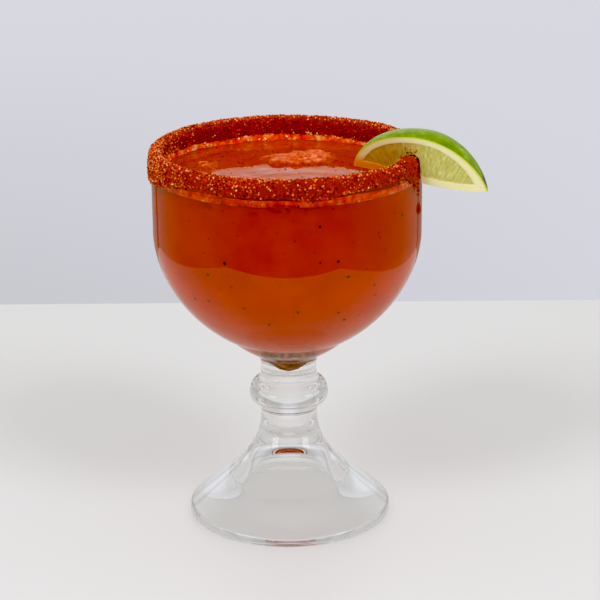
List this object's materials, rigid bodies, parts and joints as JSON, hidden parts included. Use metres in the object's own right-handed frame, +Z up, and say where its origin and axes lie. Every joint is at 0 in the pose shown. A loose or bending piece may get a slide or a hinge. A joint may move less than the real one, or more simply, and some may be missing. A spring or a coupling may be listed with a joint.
{
  "type": "michelada in its footed glass",
  "caption": "Tomato beer cocktail in a footed bowl glass, with a chilli-salt crust on the rim, a wedge of lime on it, ice at the surface and spice settled in the stem.",
  "frame": {"origin": "on the table, at the middle of the whole footprint; the axis of the glass stands 11.6 mm to the -X side of it, because the lime reaches out on the +X side", "axes": "+Z up along the glass, +X towards the lime, -Y towards the viewer of the picture"},
  "size_m": [0.1402, 0.1166, 0.1732],
  "materials": {
    "clear_glass": "clear, thick, glossy",
    "tomato_beer": "wet",
    "spice": "grainy",
    "chilli_salt": "grainy, sticky",
    "lime": "wet flesh, waxy rind",
    "ice": "wet, stained by the drink",
    "sauce": "wet"
  },
  "bodies": {
    "root": {"glass": "clear_glass", "drink": "tomato_beer", "sediment": "spice", "rim_crust": "chilli_salt", "lime_wedge": "lime", "ice_large": "ice", "ice_small": "ice", "sauce_drop": "sauce"}
  },
  "joints": []
}
